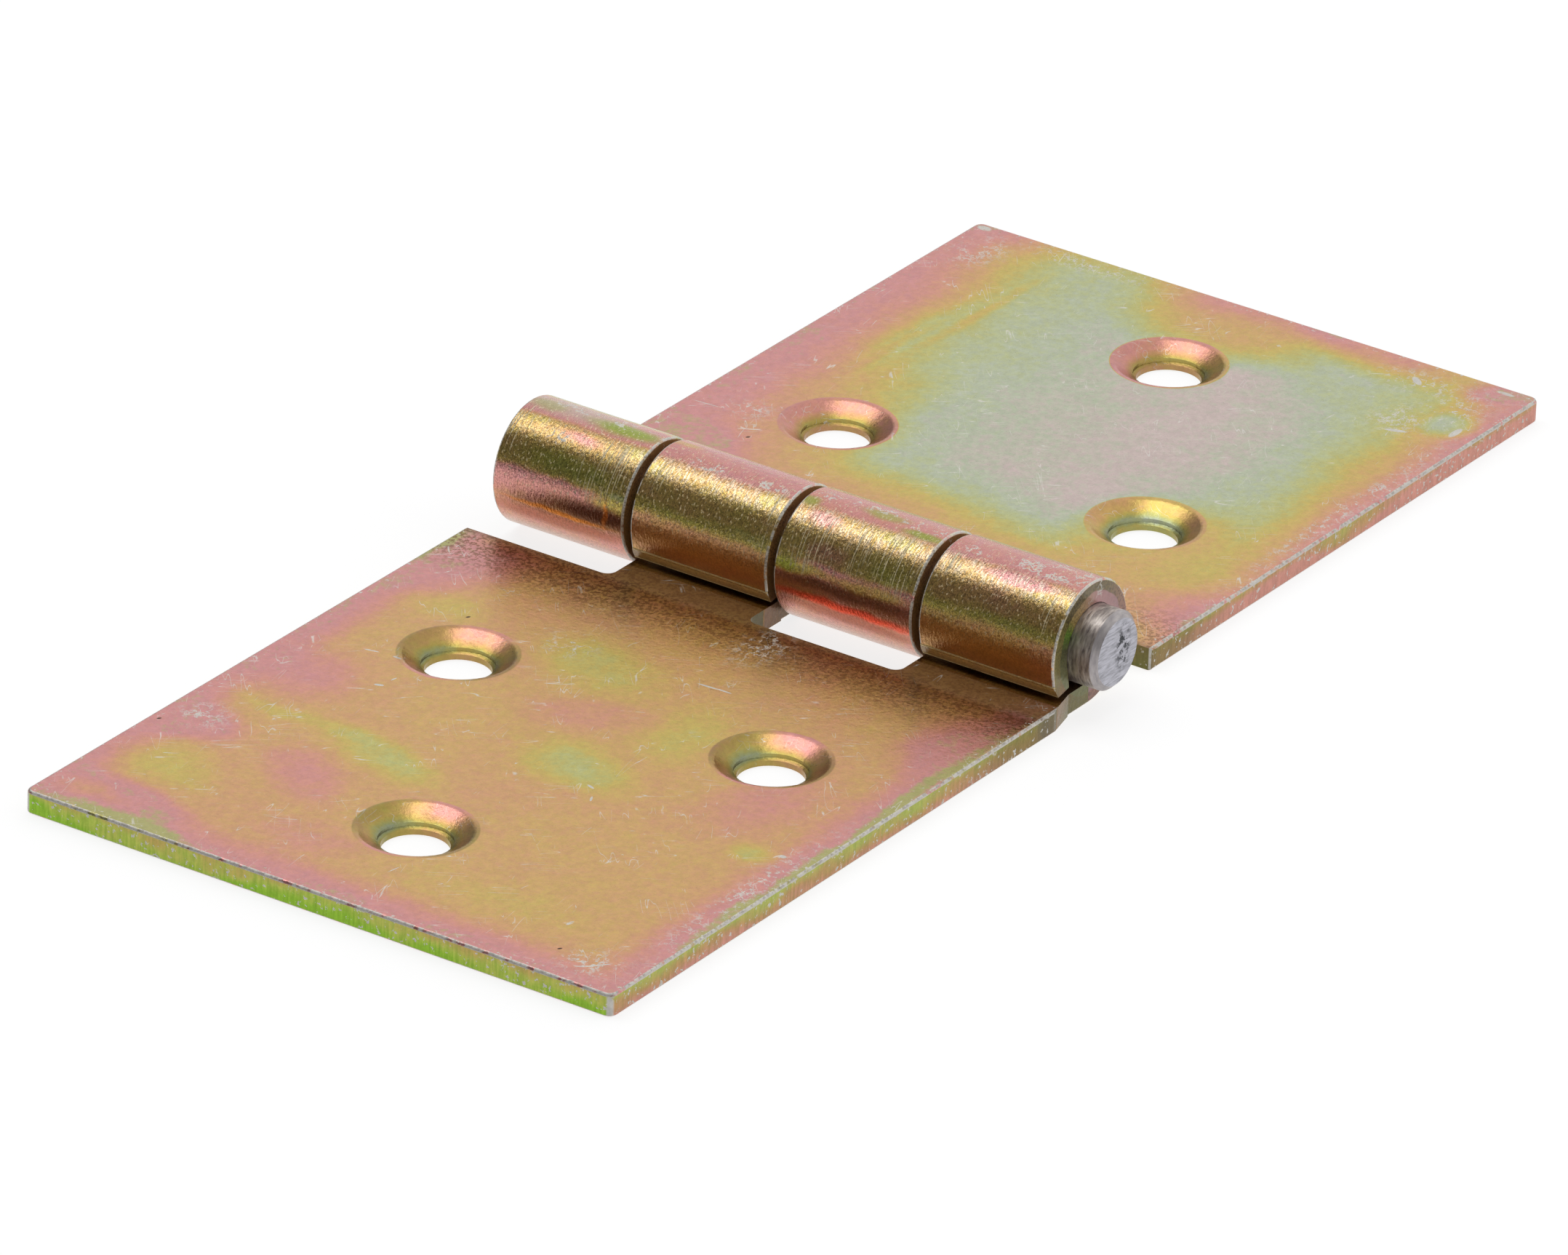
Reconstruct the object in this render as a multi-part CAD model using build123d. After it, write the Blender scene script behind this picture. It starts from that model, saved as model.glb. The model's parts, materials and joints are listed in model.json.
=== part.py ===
from build123d import *
from math import asin, atan2, cos, degrees, hypot, radians, sin, sqrt
import os

# Loose-pin flap hinge in zinc-plated steel: two like leaves and a plain pin.
# X runs along the pin, the front leaf lies to -Y and the rear leaf to +Y.
# The leaves lie open and flat with their undersides on Z = 0 and the pin's axis above Y = 0.
# X = 0 is midway between the leaves' left edges and the end of the pin that stands out.
# All sizes are in millimetres.

# Sheet blank of one leaf
leaf_length = 50.0
leaf_reach = 60.0
sheet = 1.75
outer_corner = 0.7
notch_corner = 0.8
end_corner = 0.29
top_arris = 0.28
under_arris = 0.12

# Pin
pin_diameter = 6.0
pin_chamfer = 0.45
pin_stand_out = 2.3
pin_recess = 1.0
running_clearance = 0.05

# Knuckles, which the rear leaf and the front leaf take in turn from -X
knuckle_count = 4
knuckle_gap = 0.6
end_inset = 0.65
notch_clearance = 2.3
knuckle_arris = 0.22

# Where the last root, which starts as wide as the leaf, narrows to its knuckle
lead_start = 5.4
lead_end = 2.6

# Lip where the rolled sheet ends, just above its own leaf
lip_lean = 12.0
lip_gap = 0.2
lip_bevel_height = 1.0
lip_bevel_depth = 0.35

# Screw holes: two beside the barrel and one near the outer edge
near_row = 24.0
near_spacing = 27.0
outer_hole_edge = 12.0
hole_diameter = 4.9
countersink_diameter = 8.7
hole_land = 0.42
ring_width = 0.26
ring_rise = 0.42
ring_step = 0.14
countersink_lip = 0.6

# Sizes that follow from those above
bore_radius = pin_diameter / 2 + running_clearance
barrel_radius = bore_radius + sheet
axis_height = barrel_radius
notch_reach = barrel_radius + notch_clearance
knuckle_pitch = leaf_length / knuckle_count
last_face = leaf_length / 2 - end_inset
outer_row = leaf_reach - outer_hole_edge
own_places = range(knuckle_count - 1, -1, -2)
pin_left = -last_face + pin_recess
pin_right = last_face + pin_stand_out
hinge_middle = (pin_right - leaf_length / 2) / 2


def on_roll(radius, angle, along=0.0):
    """Point at an angle round the pin's axis, moved on along the tangent there."""
    turn = radians(angle)
    across = radius * cos(turn) - along * sin(turn)
    up = axis_height + radius * sin(turn) + along * cos(turn)
    return (across, up)


def knuckle_section():
    """Sheet rolled under the pin, up its far side, over it and down to a bevelled lip."""
    root = -lead_end
    lip_angle = 180 + lip_lean
    outer_turn_end = on_roll(barrel_radius, lip_angle)
    lip_length = (outer_turn_end[1] - sheet - lip_gap) / cos(radians(lip_lean))
    bevel_start = on_roll(barrel_radius, lip_angle, lip_length - lip_bevel_height)
    bevel_end = on_roll(barrel_radius - lip_bevel_depth, lip_angle, lip_length)
    inner_tip = on_roll(bore_radius, lip_angle, lip_length)
    inner_turn_end = on_roll(bore_radius, lip_angle)
    with BuildSketch(Plane.YZ) as section:
        with BuildLine():
            Line((root, 0), (0, 0))
            CenterArc((0, axis_height), barrel_radius, -90, 270 + lip_lean)
            Polyline(outer_turn_end, bevel_start, bevel_end, inner_tip, inner_turn_end)
            CenterArc((0, axis_height), bore_radius, lip_angle, -270 - lip_lean)
            Polyline((0, sheet), (root, sheet), (root, 0))
        make_face()
    return section.sketch


def knuckle_span(place):
    """Left and right faces of the knuckle at a place counted from -X."""
    left = -leaf_length / 2 + place * knuckle_pitch
    right = left + knuckle_pitch
    left = left + knuckle_gap / 2 if place > 0 else -last_face
    right = right - knuckle_gap / 2 if place < knuckle_count - 1 else last_face
    return left, right


def rolled_knuckle(place):
    """One knuckle with the end of its root, its outer arrises rubbed round."""
    left, right = knuckle_span(place)
    knuckle = extrude(Pos(left, 0, 0) * knuckle_section(), right - left)
    outer_rims = knuckle.edges().filter_by(GeomType.CIRCLE).sort_by(SortBy.RADIUS)[-2:]
    return fillet(outer_rims, knuckle_arris)


def near_line(points, line):
    """Corners of an outline that lie on one line across the leaf."""
    return [point for point in points if abs(point.Y - line) < notch_corner / 2]


def root_outline(place):
    """Plan of one root, from a little inside the plate to the start of its knuckle's roll."""
    left, right = knuckle_span(place)
    inside = -notch_reach - sheet
    start = leaf_length / 2 if place == own_places[0] else right
    return Polygon(
        (left, inside), (start, inside), (start, -lead_start), (right, -lead_end), (left, -lead_end), align=None
    )


def leaf_outline():
    """Plan of the flat: a plate with a root for each of its own knuckles."""
    outline = Pos(0, -(leaf_reach + notch_reach) / 2) * Rectangle(leaf_length, leaf_reach - notch_reach)
    for place in own_places:
        outline += root_outline(place)
    outline = fillet(near_line(outline.vertices(), -leaf_reach), outer_corner)
    inner_corners = near_line(outline.vertices(), -notch_reach)
    beside_roots = [corner for corner in inner_corners if abs(corner.X) < last_face]
    outline = fillet(beside_roots, notch_corner)
    at_end = [corner for corner in near_line(outline.vertices(), -notch_reach) if corner.X < -last_face]
    return fillet(at_end, end_corner)


def leaf_plate():
    """Flat of the leaf, with the arrises of its outer three sides rubbed round."""
    plate = extrude(leaf_outline(), sheet)
    rubbed = extrude(RectangleRounded(leaf_length, 2 * leaf_reach, outer_corner), sheet)
    rubbed = fillet(rubbed.edges().group_by(Axis.Z)[-1], top_arris)
    rubbed = fillet(rubbed.edges().group_by(Axis.Z)[0], under_arris)
    return plate & rubbed


def screw_hole():
    """Cutter for a countersunk hole: a short land, the ring left by the punch, a cone and a soft lip."""
    hole = hole_diameter / 2
    ring = hole + ring_width
    ring_top = hole_land + ring_rise
    rim = countersink_diameter / 2
    lip_centre = (rim, sheet - countersink_lip)
    from_ring = (lip_centre[0] - ring, lip_centre[1] - ring_top)
    distance = hypot(*from_ring)
    cone_angle = atan2(from_ring[1], from_ring[0]) + asin(countersink_lip / distance)
    cone_length = sqrt(distance**2 - countersink_lip**2)
    cone_top = (ring + cone_length * cos(cone_angle), ring_top + cone_length * sin(cone_angle))
    above = 2 * sheet
    with BuildPart() as cutter:
        with BuildSketch(Plane.XZ):
            with BuildLine():
                Polyline((0, -sheet), (hole, -sheet), (hole, hole_land), (ring, hole_land + ring_step))
                Polyline((ring, hole_land + ring_step), (ring, ring_top), cone_top)
                CenterArc(lip_centre, countersink_lip, 90, degrees(cone_angle))
                Polyline((rim, sheet), (rim, above), (0, above), (0, -sheet))
            make_face()
        revolve(axis=Axis.Z)
    return cutter.part


def screw_places():
    """Centres of the holes on the front leaf."""
    half = near_spacing / 2
    return [(-half, -near_row), (half, -near_row), (0, -outer_row)]


def front_leaf():
    """Leaf on the -Y side, which has every second knuckle up to the +X end."""
    leaf = leaf_plate()
    for place in own_places:
        leaf += rolled_knuckle(place)
    for across, along in screw_places():
        leaf -= Pos(across, along, 0) * screw_hole()
    return leaf


def hinge_pin():
    """Plain chamfered pin, just inside the first knuckle and standing out of the last."""
    pin = Pos(pin_left, 0, axis_height) * extrude(Plane.YZ * Circle(pin_diameter / 2), pin_right - pin_left)
    return chamfer(pin.edges().filter_by(GeomType.CIRCLE), pin_chamfer)


to_middle = Pos(-hinge_middle, 0, 0)
front = to_middle * front_leaf()
rear = to_middle * Rot(0, 0, 180) * front_leaf()
pin = to_middle * hinge_pin()

os.makedirs("parts", exist_ok=True)
export_step(front, "parts/front_leaf.step")
export_step(rear, "parts/rear_leaf.step")
export_step(pin, "parts/hinge_pin.step")
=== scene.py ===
import json
from math import cos, radians, sin

import bpy
from mathutils import Matrix, Vector


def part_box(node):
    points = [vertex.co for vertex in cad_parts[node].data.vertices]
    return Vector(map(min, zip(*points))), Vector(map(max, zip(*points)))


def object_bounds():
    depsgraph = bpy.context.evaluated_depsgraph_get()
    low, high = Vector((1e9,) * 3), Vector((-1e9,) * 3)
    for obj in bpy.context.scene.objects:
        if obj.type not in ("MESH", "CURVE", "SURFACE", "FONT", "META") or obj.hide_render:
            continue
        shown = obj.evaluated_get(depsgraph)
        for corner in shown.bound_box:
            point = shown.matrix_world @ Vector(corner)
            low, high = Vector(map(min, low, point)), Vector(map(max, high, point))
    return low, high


# Scene of the loose-pin flap hinge: finishes for its three nodes, a floor, the light and the camera.

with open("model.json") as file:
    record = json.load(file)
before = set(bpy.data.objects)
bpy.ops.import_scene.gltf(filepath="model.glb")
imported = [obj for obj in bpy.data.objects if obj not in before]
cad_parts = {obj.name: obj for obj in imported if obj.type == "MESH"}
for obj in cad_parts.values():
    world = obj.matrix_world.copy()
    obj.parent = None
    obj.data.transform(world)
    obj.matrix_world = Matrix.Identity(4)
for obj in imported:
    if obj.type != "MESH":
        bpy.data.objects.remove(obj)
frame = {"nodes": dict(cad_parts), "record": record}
cad_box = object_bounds()

# Metres in a millimetre
MM = 0.001

# Sizes and places in millimetres, the first four from the frame and the others as in the CAD source
leaf_low, leaf_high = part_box("front_leaf")
leaf_middle = (leaf_low.x + leaf_high.x) / 2 / MM
half_length = (leaf_high.x - leaf_low.x) / 2 / MM
leaf_reach = -leaf_low.y / MM
axis_height = leaf_high.z / MM / 2
sheet = 1.75
countersink_radius = 4.35
barrel_reach = 5.0
lip_crease = 2.93
lip_tip = 2.02


def mount(name):
    """Record of a mount by its name."""
    return next(entry for entry in frame["record"]["mounts"] if entry["name"] == name)


def hole_places(side):
    """Centres of one leaf's three screw holes, measured from the leaf's middle."""
    near = mount(side + "_near_holes")
    outer = mount(side + "_outer_hole")
    half_spacing = near["dims"]["spacing_x_mm"] / 2
    near_y = near["pos_m"][1] / MM
    return [(-half_spacing, near_y), (half_spacing, near_y), (0.0, outer["pos_m"][1] / MM)]


def linear(red, green, blue):
    """Linear colour for a display colour given from 0 to 255."""
    shares = [value / 255 for value in (red, green, blue)]
    channels = [s / 12.92 if s <= 0.04045 else ((s + 0.055) / 1.055) ** 2.4 for s in shares]
    return (*channels, 1.0)


class Finish:
    """A material under construction, with short calls for its nodes. Lengths are in millimetres."""

    def __init__(self, name):
        self.material = bpy.data.materials.new(name)
        self.material.use_nodes = True
        self.nodes = self.material.node_tree.nodes
        self.links = self.material.node_tree.links
        self.nodes.clear()
        self.shader = self.nodes.new("ShaderNodeBsdfPrincipled")
        output = self.nodes.new("ShaderNodeOutputMaterial")
        self.links.new(self.shader.outputs["BSDF"], output.inputs["Surface"])
        coordinates = self.nodes.new("ShaderNodeTexCoord")
        self.normal = coordinates.outputs["Normal"]
        self.point = self.vector("MULTIPLY_ADD", coordinates.outputs["Object"], (1 / MM,) * 3, (-leaf_middle, 0, 0))
        self.x, self.y, self.z = self.split(self.point)

    def put(self, socket, value):
        """Links an output to a socket, or sets the socket's own value."""
        if isinstance(value, bpy.types.NodeSocket):
            self.links.new(value, socket)
        else:
            socket.default_value = value

    def math(self, operation, *values):
        """Result of an operation on numbers."""
        node = self.nodes.new("ShaderNodeMath")
        node.operation = operation
        for socket, value in zip(node.inputs, values):
            self.put(socket, value)
        return node.outputs["Value"]

    def vector(self, operation, *values):
        """Result of an operation on vectors: a number for LENGTH, else a vector."""
        node = self.nodes.new("ShaderNodeVectorMath")
        node.operation = operation
        for socket, value in zip(node.inputs, values):
            self.put(socket, value)
        return node.outputs["Value" if operation == "LENGTH" else "Vector"]

    def split(self, vector):
        """The three parts of a vector."""
        node = self.nodes.new("ShaderNodeSeparateXYZ")
        self.put(node.inputs[0], vector)
        return node.outputs["X"], node.outputs["Y"], node.outputs["Z"]

    def join(self, x, y, z):
        """Vector from its three parts."""
        node = self.nodes.new("ShaderNodeCombineXYZ")
        for socket, value in zip(node.inputs, (x, y, z)):
            self.put(socket, value)
        return node.outputs["Vector"]

    def step(self, value, start, end, low=0.0, high=1.0):
        """Smooth step from low at start to high at end; start may be above end."""
        node = self.nodes.new("ShaderNodeMapRange")
        node.interpolation_type = "SMOOTHSTEP"
        if start > end:
            start, end, low, high = end, start, high, low
        for name, part in (("From Min", start), ("From Max", end), ("To Min", low), ("To Max", high)):
            self.put(node.inputs[name], part)
        self.put(node.inputs["Value"], value)
        return node.outputs["Result"]

    def mix(self, share, first, second, blend="MIX"):
        """Mix of two colours."""
        node = self.nodes.new("ShaderNodeMix")
        node.data_type = "RGBA"
        node.blend_type = blend
        colours = [socket for socket in node.inputs if socket.type == "RGBA"]
        self.put(node.inputs[0], share)
        self.put(colours[0], first)
        self.put(colours[1], second)
        return next(socket for socket in node.outputs if socket.type == "RGBA")

    def dimmed(self, colour, shade):
        """A colour times a number."""
        return self.mix(1.0, colour, self.join(shade, shade, shade), "MULTIPLY")

    def lerp(self, share, first, second):
        """Mix of two numbers."""
        node = self.nodes.new("ShaderNodeMix")
        node.data_type = "FLOAT"
        numbers = [socket for socket in node.inputs if socket.type == "VALUE"]
        self.put(numbers[0], share)
        self.put(numbers[1], first)
        self.put(numbers[2], second)
        return next(socket for socket in node.outputs if socket.type == "VALUE")

    def ramp(self, value, stops):
        """Colour ramp through (place, colour) stops."""
        node = self.nodes.new("ShaderNodeValToRGB")
        elements = node.color_ramp.elements
        while len(elements) < len(stops):
            elements.new(1.0)
        for element, (place, colour) in zip(elements, stops):
            element.position = place
            element.color = colour
        self.put(node.inputs["Fac"], value)
        return node.outputs["Color"]

    def noise(self, size, vector=None, detail=2.0, roughness=0.5, shift=0.0):
        """Noise from 0 to 1 whose features are about size across."""
        node = self.nodes.new("ShaderNodeTexNoise")
        node.noise_dimensions = "4D"
        self.put(node.inputs["Vector"], self.point if vector is None else vector)
        node.inputs["W"].default_value = shift
        node.inputs["Scale"].default_value = 1 / size
        node.inputs["Detail"].default_value = detail
        node.inputs["Roughness"].default_value = roughness
        return node.outputs["Fac"]

    def warped(self, size, amount, shift):
        """The point moved about by soft noise, so that outlines drawn with it wander."""
        node = self.nodes.new("ShaderNodeTexNoise")
        node.noise_dimensions = "4D"
        self.put(node.inputs["Vector"], self.point)
        node.inputs["W"].default_value = shift
        node.inputs["Scale"].default_value = 1 / size
        centred = self.vector("SUBTRACT", node.outputs["Color"], (0.5, 0.5, 0.5))
        return self.vector("MULTIPLY_ADD", centred, (amount, amount, amount), self.point)

    def turned(self, turn, scale):
        """Coordinates turned by degrees about the upright through the leaf's middle and divided by a scale."""
        node = self.nodes.new("ShaderNodeMapping")
        node.vector_type = "TEXTURE"
        self.put(node.inputs["Vector"], self.point)
        node.inputs["Rotation"].default_value = (0, 0, radians(turn))
        node.inputs["Scale"].default_value = scale
        return node.outputs["Vector"]

    def slanted(self, point, place, across, along):
        """Offset from a place, as a weighted sum of its two parts."""
        result = -(place[0] * across + place[1] * along)
        for part, share in zip(point, (across, along)):
            if share:
                result = self.math("MULTIPLY_ADD", part, share, result)
        return result

    def patch(self, place, size, turn=0.0, point=None, soft=1.0):
        """1 in the middle of an oval patch, fading to 0 at its edge. Vectors would fill the shader's store."""
        point = point or (self.x, self.y)
        cosine, sine = cos(radians(turn)), sin(radians(turn))
        along = self.slanted(point, place, cosine / size[0], sine / size[0])
        beside = self.slanted(point, place, -sine / size[1], cosine / size[1])
        squared = self.math("MULTIPLY_ADD", beside, beside, self.math("MULTIPLY", along, along))
        return self.step(self.math("SQRT", squared), 1.0, 1.0 - soft)

    def both(self, first, *others):
        """Product of masks."""
        for other in others:
            first = self.math("MULTIPLY", first, other)
        return first

    def either(self, first, *others):
        """Largest of masks."""
        for other in others:
            first = self.math("MAXIMUM", first, other)
        return first

    def largest(self, masks):
        """Largest of many masks, each taken up as soon as it is made, because the shader's store is small."""
        result = 0.0
        for mask in masks:
            result = self.math("MAXIMUM", result, mask)
        return result

    def inverse(self, mask):
        """1 where a mask is 0, and the other way round."""
        return self.math("SUBTRACT", 1.0, mask)

    def from_hole(self, side):
        """Offset from the nearest of one leaf's screw holes."""
        (_, near_y), (near_x, _), (_, outer_y) = hole_places(side)
        outer = self.math("GREATER_THAN", self.math("ABSOLUTE", self.y), abs(near_y + outer_y) / 2)
        beside = self.both(self.math("SIGN", self.x), self.inverse(outer), near_x)
        across = self.math("SUBTRACT", self.x, beside)
        along = self.math("SUBTRACT", self.y, self.lerp(outer, near_y, outer_y))
        return across, along

    def cracks(self, size, width, shift):
        """Thin jagged lines that wander about."""
        lines = self.noise(size, detail=5.0, roughness=0.62, shift=shift)
        off_line = self.math("ABSOLUTE", self.math("SUBTRACT", lines, 0.5))
        return self.step(off_line, width, width / 3)

    def hairlines(self, turn, length, width, spacing, amount, shift):
        """Sparse straight scratches at one angle across the leaf."""
        along = self.turned(turn, (length, spacing, spacing))
        lines = self.noise(1.0, along, detail=1.0, shift=shift)
        off_line = self.math("ABSOLUTE", self.math("SUBTRACT", lines, 0.5))
        line = self.step(off_line, width, 0.0)
        kept = self.step(self.noise(2.5, detail=3.0, shift=shift + 7), 1 - amount, 1 - amount + 0.05)
        return self.math("MULTIPLY", line, kept)

    def bump(self, height, distance, below=None):
        """Surface direction over a relief, laid over another relief where one is given."""
        node = self.nodes.new("ShaderNodeBump")
        node.inputs["Strength"].default_value = 1.0
        node.inputs["Distance"].default_value = distance * MM
        self.put(node.inputs["Height"], height)
        if below is not None:
            self.put(node.inputs["Normal"], below)
        return node.outputs["Normal"]

    def total(self, terms):
        """Sum of several values."""
        result = terms[0]
        for term in terms[1:]:
            result = self.math("ADD", result, term)
        return result

    def scaled(self, value, factor):
        """A value times a factor."""
        return self.math("MULTIPLY", value, factor)

    def border_distance(self, vector):
        """Distance in from the leaf's left, right and outer edges."""
        x, y, _ = self.split(vector)
        from_side = self.math("SUBTRACT", half_length, self.math("ABSOLUTE", x))
        from_end = self.math("SUBTRACT", leaf_reach, self.math("ABSOLUTE", y))
        return self.math("SMOOTH_MIN", from_side, from_end, 2.0)

    def clouds(self, point, base, spots):
        """Film thickness from a base and soft oval spots: (amount, place, size, turn, softness)."""
        result = 0.0
        for amount, place, size, turn, soft in spots:
            result = self.math("MULTIPLY_ADD", self.patch(place, size, turn, point, soft), amount, result)
        return self.math("ADD", base, result)

    def mottle(self, size, amount, detail, shift):
        """Uneven film of a given grain size, as much above as below the rest."""
        return self.scaled(self.math("SUBTRACT", self.noise(size, detail=detail, shift=shift), 0.5), amount)

    def marked(self, spots, point=None):
        """1 in the middle of any of several oval spots, 0 away from them."""
        return self.largest(self.patch(place, size, 0, point) for place, size in spots)

    def number_ramp(self, value, low, high, stops):
        """Number that follows (place, number) stops from low to high."""
        grey = [((place - low) / (high - low), (number, number, number, 1)) for place, number in stops]
        return self.ramp(self.math("DIVIDE", self.math("SUBTRACT", value, low), high - low), grey)


# Tints of the passivated zinc, from its thinnest film to its thickest
FILM = [
    (0.00, linear(180, 176, 116)),
    (0.10, linear(212, 148, 148)),
    (0.22, linear(216, 152, 136)),
    (0.34, linear(214, 162, 120)),
    (0.46, linear(212, 174, 108)),
    (0.57, linear(206, 184, 100)),
    (0.68, linear(194, 190, 118)),
    (0.79, linear(188, 194, 146)),
    (0.88, linear(186, 194, 168)),
    (1.00, linear(206, 188, 182)),
]

# Bare zinc, and the film on sheared edges, with a painted shade olive for those beside the barrel
ZINC = linear(226, 222, 214)
CUT_GREEN = linear(138, 178, 58)
CUT_LIME = linear(168, 176, 84)
CUT_BROWN = linear(182, 146, 92)
CUT_PINK = linear(200, 140, 124)
CUT_SHADE_OLIVE = linear(126, 112, 54)
FACE_TAN = linear(186, 136, 92)

# Tints of the barrel and of the roots beside it, several of them painted shade, painted light or painted reflections
EMBER = linear(248, 84, 50)
AMBER = linear(248, 150, 60)
# Painted reflection of the near leaf on the front knuckles' lower side
PAINTED_LIGHT_TAN = linear(240, 178, 112)
GREY_PINK = linear(206, 186, 172)
# Painted shade low on the knuckles
SHADE_RED_BROWN = linear(170, 98, 72)
# Painted reflection of the front leaf's dark side
DARK_REFLECTION_BROWN = linear(112, 76, 50)
OLIVE_BROWN = linear(160, 126, 76)
SHADOW_BROWN = linear(146, 104, 58)
MOSS = linear(150, 176, 58)
# Painted light on the shaded lip bevels
LIP_LIGHT_GOLD = linear(244, 206, 142)
# Painted reflection of the white floor on the roll's underside
FLOOR_REFLECTION_PINK = linear(222, 200, 186)
# Painted shade beside the barrel, where the leaf mirrors its dark side
BARREL_SHADE_BROWN = linear(120, 80, 46)
RUST = linear(78, 48, 34)
# Painted highlight on the barrel's crest
HIGHLIGHT_CREAM = linear(250, 232, 210)
# Cream of the scratched grooves, which are wear, and of the painted glints
SCRATCH_AND_PAINTED_GLINT_CREAM = linear(252, 240, 204)
# Burnished lip edges, lightened as a painted highlight
LIP_BURNISH_HIGHLIGHT_CREAM = linear(255, 232, 176)

# Scratches across the leaf, as Finish.hairlines takes them: turn, length, width, spacing, amount and shift
SCRATCHES = [
    (35, 9, 0.007, 0.8, 0.46, 51),
    (-50, 7, 0.007, 0.9, 0.44, 52),
    (100, 11, 0.006, 1.0, 0.42, 53),
]

# Film thickness from a screw hole's land outwards over its countersink, by distance from the hole's centre
HOLE_FILM = [(2.4, 0.4), (2.72, 0.6), (3.0, 0.42), (3.4, 0.26), (4.4, 0.2)]

# Tints round a knuckle's sheared end, as shares of the turn that roll_angle measures
TORN_BAND = [
    (0.30, linear(186, 134, 112)),
    (0.42, linear(142, 120, 72)),
    (0.62, linear(126, 110, 60)),
    (0.67, linear(160, 148, 76)),
    (0.80, linear(158, 144, 72)),
    (0.86, linear(176, 130, 72)),
    (0.92, linear(150, 138, 66)),
]
SMOOTH_BAND = [
    (0.30, linear(196, 150, 150)),
    (0.47, linear(208, 152, 150)),
    (0.55, linear(196, 160, 112)),
    (0.62, linear(196, 168, 96)),
    (0.66, linear(128, 168, 58)),
    (0.72, linear(110, 112, 62)),
    (0.84, linear(150, 150, 82)),
]

# Tints of the pin's bare steel
STEEL_SIDE = [(0.3, linear(128, 121, 121)), (0.5, linear(200, 190, 184)), (0.72, linear(242, 234, 226))]
STEEL_END = [(0.34, linear(168, 167, 174)), (0.5, linear(194, 193, 201)), (0.7, linear(212, 211, 220))]
STEEL_STAIN = linear(118, 102, 94)
STEEL_PIT = linear(62, 64, 68)
STEEL_CHAMFER = linear(176, 172, 176)


def front_film(finish):
    """Film thickness over the front leaf: gold, with pink borders and a few green clouds."""
    wavy = finish.split(finish.warped(7, 3.2, shift=1))[:2]
    edge = finish.border_distance(finish.warped(9, 1.4, shift=3))
    base = finish.total([finish.step(edge, 0.3, 4.6, 0.09, 0.41), finish.mottle(9, 0.22, 3, 2)])
    film = finish.clouds(wavy, finish.math("MAXIMUM", base, 0.1), [
        (0.29, (3.5, -33.2), (7.5, 4.2), -14, 0.9),
        (0.26, (-8.5, -40.6), (9, 3.4), -14, 0.9),
        (0.12, (-16, -38.8), (12, 1.6), -2, 0.9),
        (0.16, (-19.5, -50.5), (7, 3.8), -10, 0.8),
        (0.20, (-4.5, -19.5), (8, 5), -20, 0.8),
        (0.14, (6.5, -25), (4.5, 7), 0, 0.8),
        (0.22, (20.8, -36.6), (2.6, 1.7), 0, 0.8),
        (0.08, (11, -53), (10, 3.4), 0, 0.9),
        (0.10, (-18, -18.5), (5, 2.4), 0, 0.9),
        (-0.13, (-0.5, -26.5), (7, 3.2), 20, 0.8),
        (-0.20, (-11, -46), (7, 3.6), -30, 0.9),
        (-0.13, (-5, -53.5), (7, 4), 0, 0.9),
        (-0.36, (-22, -44), (6, 3.8), 0, 0.7),
        (-0.22, (-20, -33), (5.5, 5.5), 0, 0.9),
        (-0.34, (-18, -56.2), (8, 2.4), -12, 0.9),
        (-0.18, (17, -30), (6, 8), 0, 0.9),
        (-0.28, (22, -15), (4, 7), 0, 0.8),
        (-0.28, (-21, -12.5), (5, 8), -30, 0.8),
    ])
    return finish.clouds(wavy, finish.math("MAXIMUM", film, 0.1), [
        (-0.12, (24.9, -32), (1.1, 34), 0, 0.7),
        (-0.12, (-24.9, -10), (1.2, 7), 0, 0.8),
        (-0.20, (-17, -60.0), (8, 2.8), 0, 0.9),
    ])


def rear_film(finish):
    """Film thickness over the rear leaf: thick in its middle, thin to the left and at the far corners."""
    wavy = finish.split(finish.warped(8, 2.6, shift=11))[:2]
    x, y = wavy
    leaning = finish.math("MULTIPLY_ADD", finish.math("SUBTRACT", y, 40.0), 0.05, x)
    base = finish.number_ramp(leaning, -26, 26, [
        (-25, 0.1), (-22.5, 0.14), (-20, 0.3), (-17.4, 0.56), (-14.5, 0.76), (-11, 0.84), (-2, 0.92),
        (7, 1.0), (13, 0.93), (17, 0.82), (20, 0.66), (22.3, 0.44), (24, 0.24), (25, 0.14),
    ])
    base = finish.math("ADD", base, finish.mottle(7, 0.12, 2, 13))
    return finish.math("MAXIMUM", finish.clouds(wavy, base, [
        (-0.50, (0.5, 57), (11.5, 9.5), 0, 0.7),
        (-0.50, (11, 59.4), (10, 5.2), -14, 0.8),
        (-0.10, (12, 52), (8, 5), -14, 0.9),
        (-0.30, (0, 62), (40, 6.5), 0, 0.8),
        (0.14, (-17.5, 40), (2.4, 11), -4, 0.9),
        (-0.16, (-15.7, 46), (0.9, 13), -4, 0.9),
        (-0.12, (-17.6, 38), (0.7, 10), -6, 0.9),
        (-0.30, (-13.4, 23), (7, 8), 0, 0.7),
        (-0.16, (-14, 31), (6, 7), 0, 0.9),
        (-0.12, (3, 20), (13, 6), 0, 0.9),
        (-0.34, (15, 22.5), (8, 8.5), 0, 0.7),
        (-0.50, (0, 13), (45, 8.5), 0, 0.8),
        (0.46, (22.3, 52), (2.6, 3.4), 0, 0.8),
        (-0.30, (21.5, 58), (3, 2.6), 20, 0.9),
    ]), 0.08)
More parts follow.
